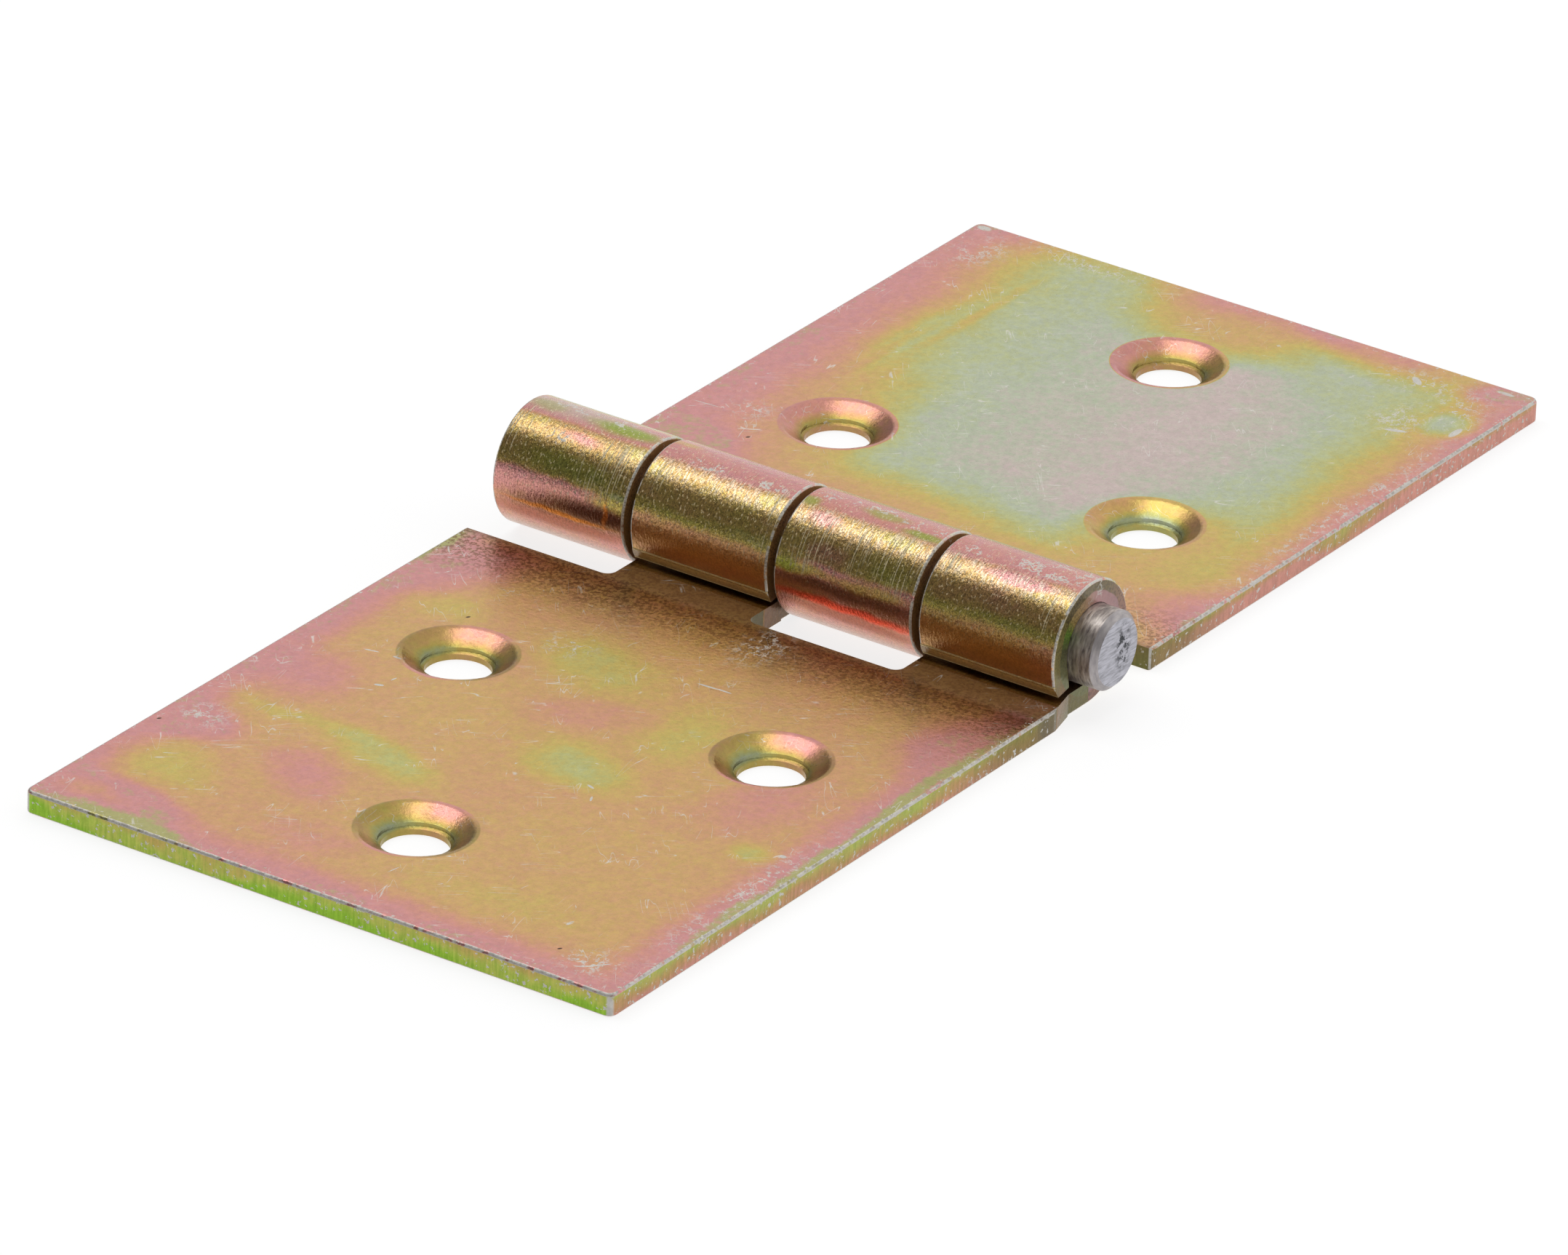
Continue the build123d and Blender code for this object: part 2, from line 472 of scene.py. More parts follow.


# Look of each leaf. A place on the flat is (x, y), from the leaf's middle and the pin's axis. A place on the barrel is
# (x, angle), in the degrees of roll_angle. What the lists hold:
# roll        film thickness round the roll: angle, thickness
# roll_spots  ovals of other thickness on the barrel: change, place, size, turn, softness
# tints       ovals of colour on the barrel, some of them painted shade, light or reflections: colour, strength, place, size
# grooves, scuffs      worn ovals on the barrel: place, size
# leaf_scuffs          worn ovals on the flat: place, size
# nicks       short bare marks on the flat: place, length, width, turn
# dots        places of rust dots on the flat
LOOKS = {
    "front": {
        "film": front_film,
        "roll": [
            (-90, 0.44), (-20, 0.54), (40, 0.42), (62, 0.86), (72, 0.14), (107, 0.15), (113, 0.40), (128, 0.48),
            (150, 0.50), (154, 0.58), (161, 0.56), (166, 0.37), (198, 0.35), (203, 0.46), (240, 0.44),
        ],
        "roll_spots": [
            (0.14, (-1.6, 117), (1.8, 12), 0, 0.8),
            (0.10, (-11.2, 120), (1.4, 14), 0, 0.8),
            (0.30, (-11, 82), (2, 10), 0, 0.9),
            (-0.30, (19.5, 117), (4.4, 9), 0, 0.6),
            (-0.10, (19, 140), (6, 18), 0, 0.8),
            (0.10, (18, 180), (7, 20), 0, 0.8),
            (-0.06, (-6, 182), (7, 18), 0, 0.8),
        ],
        "tints": [
            (MOSS, 0.2, (-8, 158), (5.5, 3.4)),
            (MOSS, 0.2, (19, 157), (6.5, 3.8)),
            (MOSS, 0.2, (14, 165), (3, 12)),
            # Painted reflection: tan on the knuckles' lower side, where they mirror the near leaf.
            (PAINTED_LIGHT_TAN, 0.8, (-6, 184), (9, 20)),
            (PAINTED_LIGHT_TAN, 0.7, (18.5, 184), (9, 20)),
            # Painted shade low on knuckle 2.
            (SHADE_RED_BROWN, 0.2, (-6, 194), (9, 9)),
            (OLIVE_BROWN, 0.35, (18.5, 194), (9, 10)),
            # Painted light on the shaded lip bevels of knuckles 2 and 4.
            (LIP_LIGHT_GOLD, 0.45, (-6, 209), (9, 8)),
            (LIP_LIGHT_GOLD, 0.35, (18.5, 209), (9, 8)),
        ],
        "grooves": [
            ((-11, 128), (0.9, 28)), ((-0.9, 138), (0.7, 54)), ((13.8, 120), (1.4, 18)), ((23, 138), (0.7, 24)),
        ],
        "scuffs": [
            ((-8, 103), (2, 9)), ((-2.6, 103), (2, 7)), ((21, 94), (4.8, 15)), ((15, 98), (2, 8)),
            ((22.5, 76), (3, 12)),
        ],
        "leaf_scuffs": [
            ((23.6, -42), (1.6, 18)), ((-22, -43), (3, 3)), ((21, -57), (4, 3)), ((3, -10), (3, 5)),
            ((-8, -18), (3, 3)),
        ],
        "nicks": [
            ((3.5, -17.4), 1.2, 0.14, 3), ((4.8, -17.3), 0.9, 0.12, 0), ((-18.6, -27.5), 0.8, 0.12, 12),
            ((-16.5, -27.3), 0.5, 0.14, 0), ((-15, -31.6), 0.5, 0.2, 20), ((-14.7, -30.2), 0.4, 0.1, 80),
            ((5.9, -35.3), 0.5, 0.16, -20), ((7.0, -36.8), 0.5, 0.12, -65), ((22.5, -35.8), 0.4, 0.3, 0),
            ((16.6, -53), 0.5, 0.2, 80), ((21.6, -57), 1.5, 0.12, 50), ((21, -57.6), 0.9, 0.1, 40),
            ((2.4, -54), 0.8, 0.06, 80),
        ],
        "dots": [(-16.3, -18.9), (18.2, -56.5), (-24.1, -45.4)],
    },
    "rear": {
        "film": rear_film,
        "roll": [
            (-90, 0.42), (-20, 0.52), (40, 0.4), (62, 0.95), (74, 0.16), (105, 0.16), (111, 0.44), (126, 0.46),
            (148, 0.52), (157, 0.54), (162, 0.15), (178, 0.20), (188, 0.30), (200, 0.24), (240, 0.28),
        ],
        "roll_spots": [
            (0.12, (-22.5, 112), (2.4, 9), 0, 0.8),
            (-0.28, (-18, 119), (2.6, 9), 0, 0.8),
            (0.12, (-13.6, 113), (1.6, 10), 0, 0.8),
            (0.06, (-18, 148), (6, 14), 0, 0.8),
            (0.42, (-12.6, 166), (4.6, 14), 0, 0.7),
            (-0.32, (2.8, 118), (2.2, 13), 0, 0.8),
            (0.14, (9.5, 116), (3.0, 11), 0, 0.8),
            (-0.18, (4.4, 150), (2.2, 14), 0, 0.8),
            (0.40, (2.0, 167), (4.0, 9), 0, 0.7),
            (0.30, (8.5, 168), (5.0, 9), 0, 0.7),
        ],
        "tints": [
            (GREY_PINK, 0.7, (-21, 84), (7, 26)),
            (MOSS, 0.85, (-15.8, 93), (4.4, 14)),
            (MOSS, 0.4, (-22.8, 90), (2.2, 14)),
            (MOSS, 0.3, (-18, 146), (6, 14)),
            (MOSS, 0.6, (6.5, 91), (2.8, 9)),
            (MOSS, 0.75, (10.6, 103), (2.8, 7)),
            (MOSS, 0.7, (1.0, 104), (1.2, 10)),
            (MOSS, 0.25, (9.5, 145), (3.6, 16)),
            (MOSS, 0.6, (1.2, 164), (1.6, 10)),
            # Painted shade under knuckles 1 and 3, where they mirror the shaded floor.
            (SHADE_RED_BROWN, 0.85, (-18.4, 200), (9, 13)),
            (SHADE_RED_BROWN, 0.85, (6.6, 202), (9, 12)),
            # Painted reflection of the front leaf's dark side, low on knuckles 1 and 3.
            (DARK_REFLECTION_BROWN, 0.75, (-15, 179), (6, 13)),
            (DARK_REFLECTION_BROWN, 0.6, (6.6, 177), (9, 8)),
            (EMBER, 0.95, (6.6, 192), (9.5, 7)),
            (AMBER, 0.95, (-18.4, 190), (6.2, 3.4)),
            (AMBER, 0.7, (-14.4, 178), (0.3, 18)),
        ],
        "grooves": [
            ((-23.4, 124), (1.1, 36)), ((-15.4, 140), (3.0, 42)), ((2.8, 142), (2.4, 40)), ((6.8, 140), (1.7, 30)),
            ((10.2, 136), (2.8, 44)),
        ],
        "scuffs": [
            ((-19.5, 80), (6, 11)), ((-15, 86), (3, 9)), ((-20, 124), (1.4, 10)), ((5, 84), (5, 9)),
            ((10, 90), (3, 11)), ((1.5, 92), (1.2, 8)),
        ],
        "leaf_scuffs": [
            ((-22, 55.5), (3, 4.5)), ((-14, 58.4), (9, 1.8)), ((16.5, 56.5), (6, 3)), ((21, 54), (4, 7)),
            ((18.5, 50.5), (3.5, 4)), ((-20, 22), (3, 2)), ((23.8, 35), (1.2, 22)),
        ],
        "nicks": [
            ((-23, 20.8), 1.6, 0.06, 4), ((14.4, 47.6), 0.8, 0.06, 85), ((-24, 59.2), 0.8, 0.5, 0),
            ((19.5, 48.6), 1.2, 0.3, 20), ((23.2, 51), 0.4, 1.2, 0), ((16.2, 56.8), 1.0, 0.4, -40),
            ((22.6, 59), 1.0, 0.3, 0),
        ],
        "dots": [(-17.4, 18)],
    },
}


# Fades on a leaf, each from its first value to its second. By angle round the roll:
dusk_start, dusk_end = (102.0, 112.0), (190.0, 165.0)
highlight_start, highlight_end = (104.0, 112.0), (138.0, 124.0)
painted_glint_end = (185.0, 160.0)
floor_reflection_start = (208.0, 230.0)
face_speckle_end = (150.0, 138.0)
# by distance from the pin's axis, level with the leaf:
barrel_end = (barrel_reach, barrel_reach - 0.3)
lip_shade_end = (8.2, 6.6)
barrel_shade_end = (15.0, 9.0)
cut_shade_end = (20.0, 8.0)
# by place along the pin:
barrel_shade_left = (-4.0, -12.0)
highlight_left = (-16.0, -11.0)
inner_faces = (20.0, 18.0)
# by height above the underside:
over_flat = (sheet + 0.03, sheet + 0.2)
over_sheet = (sheet, sheet + 0.05)
under_crease = (3.1, 2.9)
at_lip_tip = (lip_tip + 0.18, lip_tip)
# by distance from a hole's centre:
hole_rim = (countersink_radius + 0.2, countersink_radius + 0.05)
hole_shade_end = (2.6, 3.5)
# and by radius across the sheet of a knuckle:
torn_start = (3.86, 3.98)


class PlatedSheet(Finish):
    """Yellow passivated zinc on one leaf: film tints, grain, grooves, scratches and worn arrises, with painted shade,
    highlights, glints and reflections.
    """

    def __init__(self, side):
        super().__init__("plated_" + side)
        self.side = side
        self.look = LOOKS[side]
        normal_x, _, normal_z = self.split(self.normal)
        self.facing = self.math("ABSOLUTE", normal_x)
        self.up = self.math("ABSOLUTE", normal_z)
        self.on_top = self.step(normal_z, -0.7, -0.4)
        self.away = self.math("ABSOLUTE", self.y)
        self.barrel = self.either(self.step(self.z, *over_flat), self.step(self.away, *barrel_end))
        self.flat = self.inverse(self.barrel)
        self.face = self.both(self.step(self.facing, 0.9, 0.97), self.barrel)
        colour = self.sheared(self.tinted(self.film_colour()))
        self.find_wear()
        colour = self.worn(colour)
        self.put(self.shader.inputs["Base Color"], self.grained(colour))
        self.set_gloss()
        self.put(self.shader.inputs["Normal"], self.relief())

    def film_colour(self):
        """Colour of the film by its thickness, which differs on the flat, on the roll and in the screw holes."""
        self.angle = self.roll_angle()
        self.arc = self.join(self.x, self.scaled(self.angle, radians(axis_height)), 0)
        wander = self.split(self.vector("SUBTRACT", self.warped(3, 2.0, shift=22), self.point))
        self.roll_wavy = (self.math("ADD", wander[0], self.x), self.math("MULTIPLY_ADD", wander[1], 6.0, self.angle))
        rolled = self.number_ramp(self.roll_wavy[1], -90, 270, self.look["roll"])
        rolled = self.math("ADD", rolled, self.mottle(4, 0.16, 2, 21))
        level = self.look["film"](self)
        rolled = self.clouds(self.roll_wavy, rolled, self.look["roll_spots"])
        thickness = self.lerp(self.barrel, level, rolled)

        self.across, along = self.from_hole(self.side)
        self.hole_distance = self.vector("LENGTH", self.join(self.across, along, 0))
        self.holes = self.both(self.step(self.hole_distance, *hole_rim), self.flat, self.on_top)
        in_hole = self.number_ramp(self.hole_distance, 2, 5, HOLE_FILM)
        to_side = self.math("ABSOLUTE", self.across) if self.side == "front" else self.x
        in_hole = self.total([in_hole, self.step(to_side, 0.6, 3.4, 0.0, 0.26), self.mottle(5, 0.5, 2, 23)])
        thickness = self.lerp(self.holes, thickness, in_hole)
        thickness = self.total([thickness, self.mottle(1.6, 0.18, 4, 4), self.mottle(0.45, 0.2, 3, 12)])
        return self.ramp(thickness, FILM)

    def tinted(self, colour):
        """Colour with the barrel's own tints (some of them painted shade, light or reflections), the painted shadow
        under the lips and painted shade beside the barrel, and a painted highlight in cream streaks along its crest.
        """
        for tint, strength, place, size in self.look["tints"]:
            spot = self.patch(place, size, 0, self.roll_wavy, 0.7)
            colour = self.mix(self.both(spot, self.barrel, strength), colour, tint)
        # Painted reflection of the white floor: the roll's underside turns pale.
        painted_floor_reflection = self.both(self.step(self.angle, *floor_reflection_start), self.barrel, 0.5)
        colour = self.mix(painted_floor_reflection, colour, FLOOR_REFLECTION_PINK)

        # Painted shade in speckles beside the barrel, where the leaf mirrors the barrel's dark side.
        shade_by_barrel = self.both(self.flat, self.on_top, self.step(self.away, *barrel_shade_end))
        self.under_lip = self.both(self.flat, self.on_top, self.step(self.away, *lip_shade_end))
        colour = self.mix(self.scaled(self.under_lip, 0.85), colour, SHADOW_BROWN)
        barrel_shade = self.noise(0.26, detail=4, roughness=0.65, shift=24)
        barrel_shade = self.both(shade_by_barrel, self.step(barrel_shade, 0.46, 0.56))
        barrel_shade = self.both(barrel_shade, self.step(self.x, *barrel_shade_left, 0.6, 0.76))
        colour = self.mix(barrel_shade, colour, BARREL_SHADE_BROWN)

        # Painted highlight: cream streaks on the crest, where the lamp's reflection falls.
        past_start, before_end = self.step(self.angle, *highlight_start), self.step(self.angle, *highlight_end)
        painted_highlight = self.both(past_start, before_end, self.barrel, self.inverse(self.face))
        highlight_streaks = self.noise(1.0, self.vector("MULTIPLY", self.arc, (7.0, 1.0, 0)), detail=4, roughness=0.65, shift=25)
        painted_highlight = self.both(painted_highlight, self.step(highlight_streaks, 0.44, 0.6, 0.0, 0.6), self.step(self.x, *highlight_left, 0.3, 1.0))
        return self.mix(painted_highlight, colour, HIGHLIGHT_CREAM)

    def sheared(self, colour):
        """Colour with the leaf's cut edges and the knuckles' end faces."""
        self.cut = self.both(self.step(self.up, 0.35, 0.15), self.flat, self.inverse(self.holes))
        colour = self.mix(self.cut, colour, self.cut_face())
        return self.mix(self.face, colour, self.knuckle_face())

    def find_wear(self):
        """Masks of what is worn down to silver: arrises, corners, scuffs, scratches, nicks and grooves; and of the
        painted glints on the barrel.
        """
        border = self.border_distance(self.point)
        self.ragged = self.noise(0.7, detail=4, roughness=0.6, shift=41)
        not_flat, not_upright = self.step(self.up, 0.985, 0.93), self.step(self.up, 0.1, 0.3)
        arris = self.both(not_flat, not_upright, self.flat, self.inverse(self.holes))
        rim = self.both(self.step(self.facing, 0.1, 0.3), self.step(self.facing, 0.98, 0.85), self.barrel)
        worn = self.both(self.either(arris, rim), self.step(self.ragged, 0.36, 0.50))
        dark = self.step(self.noise(0.35, detail=3, shift=49), 0.52, 0.44)
        self.dark_line = self.both(arris, dark, self.step(self.up, 0.4, 0.75))
        near_edge = self.step(border, 1.3, 0.2)
        specks = self.both(near_edge, self.step(self.noise(0.35, detail=3, shift=42), 0.60, 0.66), self.flat)
        slanting = self.step(self.facing, 0.25, 0.5), self.step(self.facing, 0.95, 0.8), self.step(self.up, 0.3, 0.15)
        corner = self.both(*slanting, self.flat)
        corner = self.both(corner, self.inverse(self.holes), self.step(self.ragged, 0.3, 0.45))
        leaf_scuffs = self.both(self.marked(self.look["leaf_scuffs"]), self.either(
            self.cracks(3.0, 0.010, 43),
            self.step(self.noise(0.5, detail=5, roughness=0.75, shift=44), 0.54, 0.60),
        ), self.flat)
        roll = (self.x, self.angle)
        roll_scuffs = self.both(self.step(self.marked(self.look["scuffs"], roll), 0.0, 0.4), self.either(
            self.cracks(2.0, 0.022, 45),
            self.step(self.noise(0.8, detail=5, roughness=0.7, shift=46), 0.58, 0.64),
        ), self.barrel)
        scratches = self.largest(self.hairlines(*line) for line in SCRATCHES)
        scratches = self.both(scratches, self.flat, self.inverse(self.cut), 0.75)
        nicks = self.largest(
            self.step(self.patch(place, (length, width), turn), 0.05, 0.35)
            for place, length, width, turn in self.look["nicks"]
        )
        nicks = self.both(nicks, self.step(self.ragged, 0.3, 0.42), self.step(self.up, 0.8, 0.95), self.flat)

        lines = self.noise(1.0, self.vector("MULTIPLY", self.arc, (7.0, 0.16, 0)), detail=3, roughness=0.6, shift=47)
        in_grooves = self.step(self.marked(self.look["grooves"], roll), 0.0, 0.5)
        self.grooves = self.both(in_grooves, self.step(lines, 0.54, 0.60), self.barrel, self.inverse(self.face))
        # Painted glints: bright specks on the barrel in place of the lamp's sparkle.
        pricks = self.noise(1.0, self.vector("MULTIPLY", self.arc, (5.0, 3.2, 0)), detail=2, shift=48)
        pricks, upper = self.step(pricks, 0.57, 0.66), self.step(self.angle, *painted_glint_end)
        self.painted_glints = self.both(pricks, upper, self.barrel, self.inverse(self.face))
        self.rough_marks = self.either(worn, specks, corner, leaf_scuffs, roll_scuffs, nicks)
        self.silver = self.either(self.rough_marks, scratches)

    def worn(self, colour):
        """Colour with the wear, the painted glints, the bright lines on the lips' ends (burnished edges with a painted
        highlight), the rust dots and the dark line of the arrises.
        """
        colour = self.mix(self.silver, colour, ZINC)
        bright = self.either(self.scaled(self.grooves, 0.85), self.scaled(self.painted_glints, 0.6))
        colour = self.mix(bright, colour, SCRATCH_AND_PAINTED_GLINT_CREAM)
        # Bright lines on the lip's crease and tip: burnished edges, lightened further as a painted highlight.
        on_crease = self.step(self.math("ABSOLUTE", self.math("SUBTRACT", self.z, lip_crease)), 0.12, 0.05)
        at_tip = self.step(self.z, *at_lip_tip)
        self.lip_side = self.math("GREATER_THAN" if self.side == "rear" else "LESS_THAN", self.y, 0.0)
        lines = self.both(self.either(on_crease, at_tip), self.lip_side, self.barrel, self.inverse(self.face))
        self.lip_burnish_highlight = self.both(lines, self.step(self.z, *over_sheet), self.step(self.ragged, 0.3, 0.45))
        colour = self.mix(self.lip_burnish_highlight, colour, LIP_BURNISH_HIGHLIGHT_CREAM)
        dots = self.largest(self.patch(place, (0.24, 0.14), 60, None, 0.5) for place in self.look["dots"])
        rust = self.either(self.both(dots, self.flat), self.scaled(self.dark_line, 0.3))
        return self.mix(rust, colour, RUST)

    def grained(self, colour):
        """Colour with fine light and dark grain, and the holes shaded."""
        self.grain = self.noise(0.16, detail=3, roughness=0.6, shift=61)
        coarse = self.step(self.noise(0.5, detail=4, roughness=0.65, shift=66), 0.3, 0.7, 0.93, 1.07)
        shade = self.both(self.step(self.grain, 0.25, 0.75, 0.93, 1.05), coarse)
        dusky = self.step(self.noise(0.13, detail=3, roughness=0.6, shift=64), 0.36, 0.6, 0.55, 1.12)
        past_crown, low_down = self.step(self.angle, *dusk_start), self.step(self.angle, *dusk_end, 0.4, 1.0)
        below = self.both(self.barrel, past_crown, low_down)
        side_shade = 0.6 if self.side == "front" else 0.88
        cone_shade = self.both(
            self.step(self.hole_distance, *hole_shade_end, 0.66, 1.0),
            self.step(self.math("ABSOLUTE", self.across), 1.4, 4.2, 1.0, side_shade),
        )
        in_cone = self.lerp(self.holes, 1.0, cone_shade)
        shade = self.both(self.lerp(below, shade, dusky), in_cone)
        return self.dimmed(colour, shade)

    def set_gloss(self):
        """Roughness and metal: rougher where the film is worn and at the painted glints and lip lines, less metal
        there, on end faces and under the lips.
        """
        rough = self.lerp(self.barrel, 0.3, 0.2)
        rough = self.math("ADD", rough, self.step(self.grain, 0.3, 0.7, -0.03, 0.05))
        marks = self.scaled(self.rough_marks, 0.9)
        marks = self.either(marks, self.scaled(self.either(self.grooves, self.painted_glints, self.lip_burnish_highlight), 0.9))
        self.put(self.shader.inputs["Roughness"], self.lerp(marks, rough, 0.6))
        below, above = self.step(self.z, *under_crease), self.step(self.z, *over_sheet)
        lip_end = self.both(self.barrel, self.lip_side, below, above)
        shaded = self.either(self.under_lip, lip_end, self.face)
        metal = self.lerp(marks, self.lerp(shaded, 1.0, 0.15), 0.55)
        metal = self.lerp(self.lip_burnish_highlight, self.lerp(self.grooves, metal, 0.4), 0.6)
        self.put(self.shader.inputs["Metallic"], metal)

    def relief(self):
        """Surface direction over the grain, the grooves and a soft swell."""
        along_roll = self.vector("MULTIPLY", self.arc, (5.5, 2.0, 0))
        rolled_grain = self.noise(1.0, along_roll, detail=4, roughness=0.66, shift=63)
        flat_grain = self.scaled(self.noise(0.3, detail=4, roughness=0.6, shift=65), 0.8)
        on_roll = self.both(self.barrel, self.inverse(self.face))
        height = self.lerp(on_roll, flat_grain, self.scaled(rolled_grain, 1.7))
        height = self.total([height, self.scaled(self.grooves, 0.4), self.scaled(self.lip_burnish_highlight, 3.0)])
        height = self.math("ADD", height, self.scaled(self.both(self.face, self.ragged), 1.2))
        pits = self.bump(height, 0.035)
        return self.bump(self.noise(3.5, detail=1, shift=62), 0.02, below=pits)

    def roll_angle(self):
        """Angle round the pin's axis in degrees, from -90 underneath over +Y and the crown to 270."""
        turn = self.math("ARCTAN2", self.math("SUBTRACT", self.z, axis_height), self.y)
        turn = self.math("ADD", self.math("DEGREES", turn), 450.0)
        return self.math("SUBTRACT", self.math("MODULO", turn, 360.0), 90.0)

    def knuckle_face(self):
        """Sheared end of a rolled knuckle: a torn outer band over a smooth one that takes rainbow tints."""
        radius = self.vector("LENGTH", self.join(0, self.y, self.math("SUBTRACT", self.z, axis_height)))
        wander = self.scaled(self.math("SUBTRACT", self.noise(1.2, detail=3, shift=81), 0.5), 0.5)
        torn = self.step(self.math("ADD", radius, wander), *torn_start)
        place = self.math("DIVIDE", self.math("ADD", self.angle, 90.0), 360.0)
        outer = self.ramp(place, TORN_BAND)
        inner = self.ramp(place, SMOOTH_BAND)
        speckled = self.step(self.noise(0.2, detail=3, shift=82), 0.3, 0.62, 0.55, 1.1)
        speckled = self.lerp(self.step(self.angle, *face_speckle_end), 1.0, speckled)
        outer = self.dimmed(outer, speckled)
        face = self.mix(torn, inner, outer)
        inside_gaps = self.step(self.x, *inner_faces, 0.0, 0.7)
        return self.mix(inside_gaps, face, FACE_TAN)

    def cut_face(self):
        """Sheared edge of the leaf: green and gold with brown or pink runs and upright shear lines, and painted shade
        in olive beside the barrel.
        """
        across = self.math("ABSOLUTE", self.split(self.normal)[0])
        at_side = self.step(across, 0.4, 0.6)
        lines = self.noise(1.0, self.vector("MULTIPLY", self.point, (4.5, 4.5, 0.5)), detail=3, shift=31)
        runs = self.noise(7, self.vector("MULTIPLY", self.point, (1, 1, 2.5)), detail=2, shift=32)
        level = self.math("MULTIPLY_ADD", self.z, -0.22, 0.2)
        front = self.total([runs, self.scaled(lines, 0.25), self.scaled(level, -0.7)])
        front = self.ramp(front, [(0.50, CUT_GREEN), (0.66, CUT_LIME), (0.84, CUT_BROWN), (0.98, CUT_PINK)])
        start = 0.30 if self.side == "rear" else 0.46
        flank = self.total([runs, self.scaled(lines, 0.2), level])
        flank = self.ramp(flank, [(start, CUT_LIME), (start + 0.18, CUT_BROWN), (start + 0.36, CUT_PINK)])
        shade = self.step(lines, 0.3, 0.7, 0.84, 1.08)
        colour = self.mix(at_side, front, flank)
        # Painted shade: the sheared walls beside the barrel turn dark olive.
        shade_by_barrel = self.step(self.math("ABSOLUTE", self.y), *cut_shade_end, 0.0, 0.85)
        colour = self.mix(shade_by_barrel, colour, CUT_SHADE_OLIVE)
        return self.dimmed(colour, shade)


def bare_steel():
    """Raw drawn rod: grey and brownish, with turning marks round it and a sawn, pitted end."""
    finish = Finish("bare_steel")
    facing = finish.math("ABSOLUTE", finish.split(finish.normal)[0])
    end = finish.step(facing, 0.9, 0.98)
    chamfer = finish.both(finish.step(facing, 0.4, 0.6), finish.inverse(end))
    rings = finish.noise(1.0, finish.vector("MULTIPLY", finish.point, (5.0, 1.2, 1.2)), detail=4, shift=71)
    side = finish.ramp(rings, STEEL_SIDE)
    stain = finish.step(finish.noise(1.4, detail=3, shift=74), 0.42, 0.62)
    side = finish.mix(finish.scaled(stain, 0.3), side, STEEL_STAIN)
    pits = finish.noise(0.5, detail=5, roughness=0.68, shift=72)
    beside = finish.math("SUBTRACT", finish.y, 0.7)
    above = finish.math("SUBTRACT", finish.z, axis_height + 0.2)
    from_middle = finish.vector("MULTIPLY", finish.join(beside, above, 0), (0.75, 0.42, 0))
    torn = finish.step(finish.vector("LENGTH", from_middle), 1.0, 0.35)
    saw = finish.noise(1.0, finish.vector("MULTIPLY", finish.point, (1.0, 1.1, 7.0)), detail=2, shift=73)
    pitted = finish.both(finish.step(pits, 0.48, 0.56), torn)
    sawn = finish.ramp(saw, STEEL_END)
    sawn = finish.mix(pitted, sawn, STEEL_PIT)
    colour = finish.mix(end, side, sawn)
    colour = finish.mix(finish.scaled(chamfer, 0.6), colour, STEEL_CHAMFER)
    finish.put(finish.shader.inputs["Base Color"], colour)
    finish.shader.inputs["Metallic"].default_value = 0.8
    finish.put(finish.shader.inputs["Roughness"], finish.lerp(end, 0.46, 0.55))
    height = finish.lerp(end, rings, finish.math("SUBTRACT", saw, pitted))
    finish.put(finish.shader.inputs["Normal"], finish.bump(height, 0.03))
    return finish.material


def dress(node, material):
    """Gives a node its finish."""
    materials = frame["nodes"][node].data.materials
    materials.clear()
    materials.append(material)


dress("front_leaf", PlatedSheet("front").material)
dress("rear_leaf", PlatedSheet("rear").material)
dress("hinge_pin", bare_steel())


def is_seen(nodes, links):
    """1 for camera, glossy and transmission rays, 0 for the rays that light matt surfaces."""
    path = nodes.new("ShaderNodeLightPath")
    seen = path.outputs["Is Camera Ray"]
    for name in ("Is Glossy Ray", "Is Transmission Ray"):
        either = nodes.new("ShaderNodeMath")
        either.operation = "MAXIMUM"
        links.new(seen, either.inputs[0])
        links.new(path.outputs[name], either.inputs[1])
        seen = either.outputs[0]
    return seen


# Floor: its half size in metres, its gap below the hinge in millimetres, and how it shines and takes light
floor_half_size = 3.0
floor_gap = 0.05
floor_glow = 0.8
floor_albedo = 0.3


def make_floor():
    """Wide pale floor at the hinge's underside, white where nothing shades it."""
    mesh = bpy.data.meshes.new("floor")
    half = floor_half_size
    mesh.from_pydata([(-half, -half, 0), (half, -half, 0), (half, half, 0), (-half, half, 0)], [], [(0, 1, 2, 3)])
    floor = bpy.data.objects.new("floor", mesh)
    floor.location.z = cad_box[0].z - floor_gap * MM
    bpy.context.scene.collection.objects.link(floor)
    material = bpy.data.materials.new("floor")
    material.use_nodes = True
    nodes, links = material.node_tree.nodes, material.node_tree.links
    nodes.clear()
    matt = nodes.new("ShaderNodeBsdfDiffuse")
    matt.inputs["Color"].default_value = (floor_albedo,) * 3 + (1,)
    glow = nodes.new("ShaderNodeEmission")
    strength = nodes.new("ShaderNodeMath")
    strength.operation = "MULTIPLY"
    strength.inputs[1].default_value = floor_glow
    links.new(is_seen(nodes, links), strength.inputs[0])
    links.new(strength.outputs[0], glow.inputs["Strength"])
    both = nodes.new("ShaderNodeAddShader")
    links.new(matt.outputs[0], both.inputs[0])
    links.new(glow.outputs[0], both.inputs[1])
    output = nodes.new("ShaderNodeOutputMaterial")
    links.new(both.outputs[0], output.inputs["Surface"])
    mesh.materials.append(material)


make_floor()

# Light: the room's brightness in front, behind and to the far left, and the directions between which it changes
room_front = 0.25
room_back = 1.12
room_back_start, room_back_full = -0.15, 0.35
room_side = 0.3
room_side_full, room_side_end = -0.78, -0.6


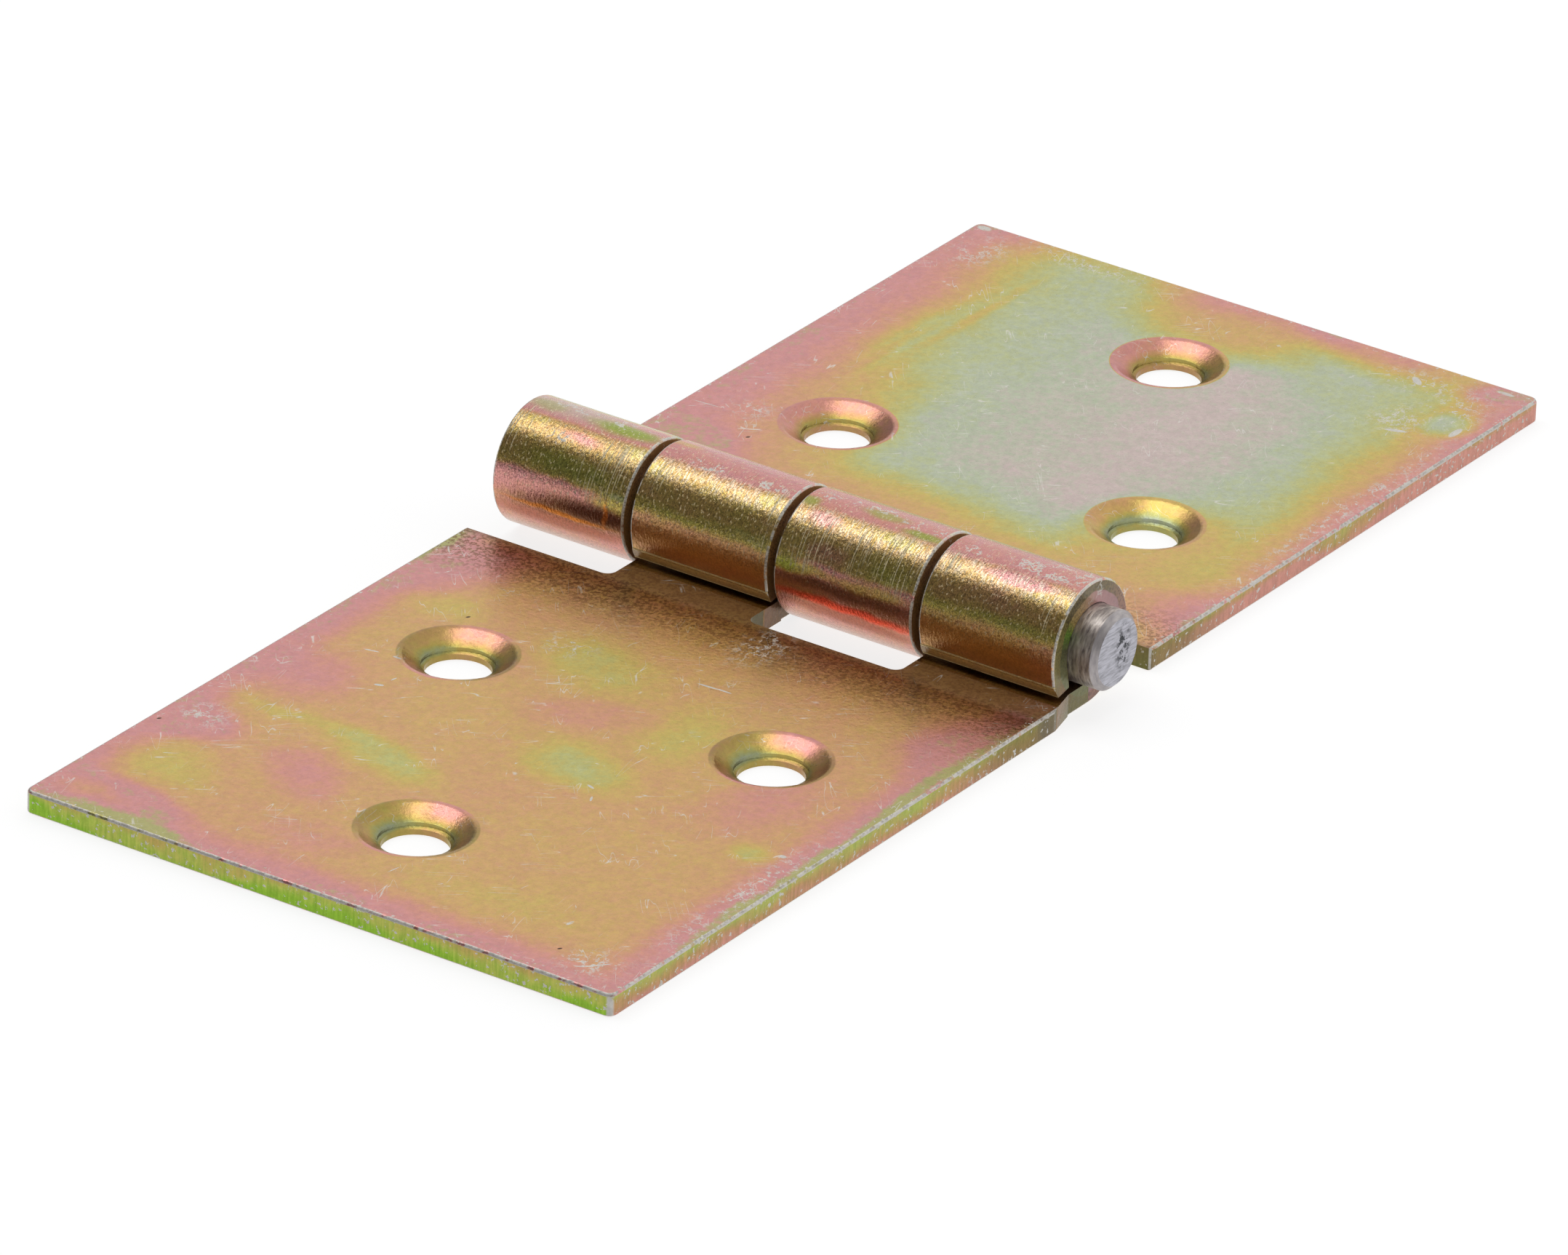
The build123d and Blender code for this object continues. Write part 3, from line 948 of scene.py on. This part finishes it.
def make_world():
    """White room behind the hinge, dimmer at the camera's side and far to the left, and white to the camera."""
    world = bpy.data.worlds.new("studio")
    bpy.context.scene.world = world
    world.use_nodes = True
    nodes, links = world.node_tree.nodes, world.node_tree.links
    nodes.clear()
    coordinates = nodes.new("ShaderNodeTexCoord")
    split = nodes.new("ShaderNodeSeparateXYZ")
    links.new(coordinates.outputs["Generated"], split.inputs[0])
    parts = []
    for axis, values in (
        ("Y", (room_back_start, room_back_full, room_front, room_back)),
        ("X", (room_side_full, room_side_end, room_side, 1.0)),
    ):
        part = nodes.new("ShaderNodeMapRange")
        part.interpolation_type = "SMOOTHSTEP"
        for name, value in zip(("From Min", "From Max", "To Min", "To Max"), values):
            part.inputs[name].default_value = value
        links.new(split.outputs[axis], part.inputs["Value"])
        parts.append(part)
    room_level = nodes.new("ShaderNodeMath")
    room_level.operation = "MULTIPLY"
    for part, socket in zip(parts, room_level.inputs):
        links.new(part.outputs["Result"], socket)
    path = nodes.new("ShaderNodeLightPath")
    strength = nodes.new("ShaderNodeMix")
    strength.data_type = "FLOAT"
    links.new(path.outputs["Is Camera Ray"], strength.inputs[0])
    links.new(room_level.outputs[0], strength.inputs[2])
    strength.inputs[3].default_value = 1.0
    background = nodes.new("ShaderNodeBackground")
    links.new(strength.outputs[0], background.inputs["Strength"])
    output = nodes.new("ShaderNodeOutputWorld")
    links.new(background.outputs[0], output.inputs["Surface"])


make_world()


def softbox(name, direction, distance, width, height, power):
    """Rectangular lamp that faces the hinge from a direction, its width level along X."""
    light = bpy.data.lights.new(name, "AREA")
    light.shape = "RECTANGLE"
    light.size = width
    light.size_y = height
    light.energy = power
    lamp = bpy.data.objects.new(name, light)
    towards = Vector(direction).normalized()
    along = Vector((1, 0, 0))
    along = (along - along.dot(towards) * towards).normalized()
    turned = Matrix((along, towards.cross(along), towards)).transposed().to_4x4()
    lamp.matrix_world = Matrix.Translation(towards * distance) @ turned
    bpy.context.scene.collection.objects.link(lamp)


softbox("key", direction=(-0.3, -0.05, 0.9), distance=1.2, width=1.4, height=0.38, power=4.2)

# Camera, as fitted to the photograph: its distance in metres, its lens and sensor in millimetres
azimuth = radians(33.43)
elevation = radians(26.38)
roll = radians(2.13)
distance = 1.04195
focal_length = 333.6
sensor_width = 36.0
target = Vector((0.48 + leaf_middle, -3.355, 0)) * MM
nearest, farthest = 0.05, 20.0


def make_camera():
    """Long lens above the front right corner, tilted a little to the side."""
    camera = bpy.data.objects.new("camera", bpy.data.cameras.new("camera"))
    camera.data.sensor_width = sensor_width
    camera.data.lens = focal_length
    back = Vector((sin(azimuth) * cos(elevation), -cos(azimuth) * cos(elevation), sin(elevation)))
    level = Vector((cos(azimuth), sin(azimuth), 0))
    upright = back.cross(level)
    right = cos(roll) * level + sin(roll) * upright
    up = cos(roll) * upright - sin(roll) * level
    turned = Matrix((right, up, back)).transposed().to_4x4()
    camera.matrix_world = Matrix.Translation(target + back * distance) @ turned
    camera.data.clip_start = nearest
    camera.data.clip_end = farthest
    bpy.context.scene.collection.objects.link(camera)
    bpy.context.scene.camera = camera


make_camera()

bpy.context.scene.view_settings.view_transform = "Standard"
